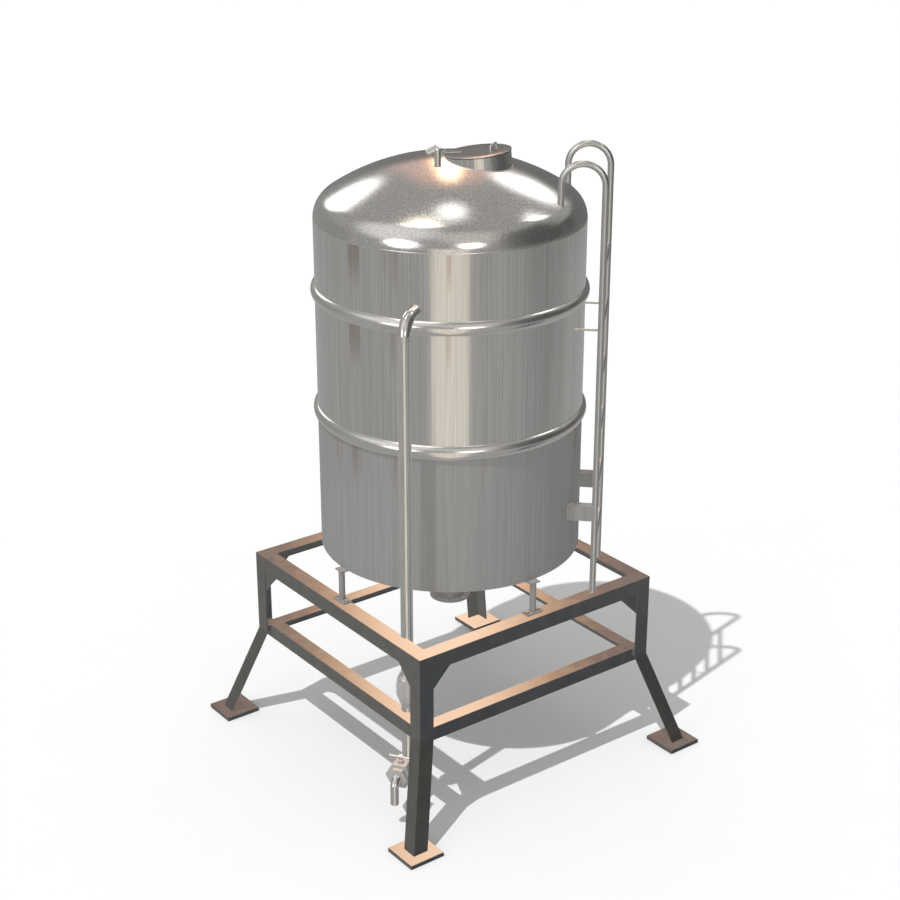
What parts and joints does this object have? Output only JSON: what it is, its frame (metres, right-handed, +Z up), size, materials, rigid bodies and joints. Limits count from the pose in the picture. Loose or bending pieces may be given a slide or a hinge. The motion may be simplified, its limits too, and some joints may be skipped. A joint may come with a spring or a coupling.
{
  "type": "stainless steel tank",
  "caption": "Upright round tank with a domed top and manway on a square stand with splayed legs, a ladder, and an outside riser pipe to a tap.",
  "frame": {"origin": "on the floor, under the tank's axis, at the centre of the four foot plates", "axes": "+Z up along the tank's axis; -Y the front of the stand and -X its left side, square to the stand's rails; the ladder stands to the front right and the riser to the front left"},
  "size_m": [1.993, 1.993, 3.4077],
  "materials": {
    "tank_steel": "rolled and brushed stainless steel with soft vertical streaks",
    "stand_steel": "satin stainless angle and plate",
    "ladder_steel": "satin stainless tube",
    "pipe_steel": "bright stainless tube",
    "basket_steel": "perforated stainless sheet",
    "tap_steel": "machined stainless steel",
    "bolt_steel": "plain stainless fasteners",
    "seat_plastic": "white valve seats",
    "gasket_rubber": "pale food-grade rubber"
  },
  "bodies": {
    "tank_and_stand": {"upper_rail_front": "stand_steel", "upper_rail_right": "stand_steel", "upper_rail_back": "stand_steel", "upper_rail_left": "stand_steel", "lower_rail_front": "stand_steel", "lower_rail_right": "stand_steel", "lower_rail_back": "stand_steel", "lower_rail_left": "stand_steel", "corner_post_front_left": "stand_steel", "corner_post_front_right": "stand_steel", "corner_post_back_right": "stand_steel", "corner_post_back_left": "stand_steel", "splayed_leg_front_left": "stand_steel", "splayed_leg_front_right": "stand_steel", "splayed_leg_back_right": "stand_steel", "splayed_leg_back_left": "stand_steel", "foot_plate_front_left": "stand_steel", "foot_plate_front_right": "stand_steel", "foot_plate_back_right": "stand_steel", "foot_plate_back_left": "stand_steel", "corner_gussets": "stand_steel", "lower_frame_packers": "stand_steel", "tank_shell": "tank_steel", "top_head": "tank_steel", "bottom_cone": "tank_steel", "outlet_neck": "tank_steel", "outlet_flange": "tank_steel", "lower_stiffening_ring": "tank_steel", "upper_stiffening_ring": "tank_steel", "tank_leg_front": "tank_steel", "tank_leg_right": "tank_steel", "tank_leg_back": "tank_steel", "tank_leg_left": "tank_steel", "tank_leg_bolts": "bolt_steel", "manway_collar": "tank_steel", "hinge_lugs": "tank_steel", "hinge_pin": "bolt_steel", "lid_gasket": "gasket_rubber", "vent_pipe": "tank_steel", "ladder_stile_front": "ladder_steel", "ladder_stile_back": "ladder_steel", "ladder_rungs": "ladder_steel", "ladder_stay_rods": "ladder_steel", "ladder_brackets": "ladder_steel", "riser_elbow": "pipe_steel", "riser_pipe_upper": "pipe_steel", "riser_pipe_lower": "pipe_steel", "strainer_cap": "pipe_steel", "strainer_body": "pipe_steel", "strainer_basket": "basket_steel", "tap_body": "tap_steel", "tap_end_cap": "tap_steel", "tap_seats": "seat_plastic", "tap_spout": "pipe_steel"},
    "manway_lid": {"manway_lid": "tank_steel", "lid_handle": "tank_steel", "lid_hinge_strap": "tank_steel"},
    "tap_turn": {"tap_ball": "tap_steel", "tap_stem": "tap_steel", "tap_lever": "tap_steel"}
  },
  "joints": [
    {"name": "manway_lid_hinge", "type": "hinge", "parent": "tank_and_stand", "child": "manway_lid", "pos_m": [-0.01943, 0.02838, 3.3254], "axis": [-0.8251, -0.565, 0], "range_deg": [0, 110]},
    {"name": "tap_turn", "type": "hinge", "parent": "tank_and_stand", "child": "tap_turn", "pos_m": [-0.75854, -0.57787, 0.36], "axis": [0, 0, 1], "range_deg": [0, 90]}
  ]
}
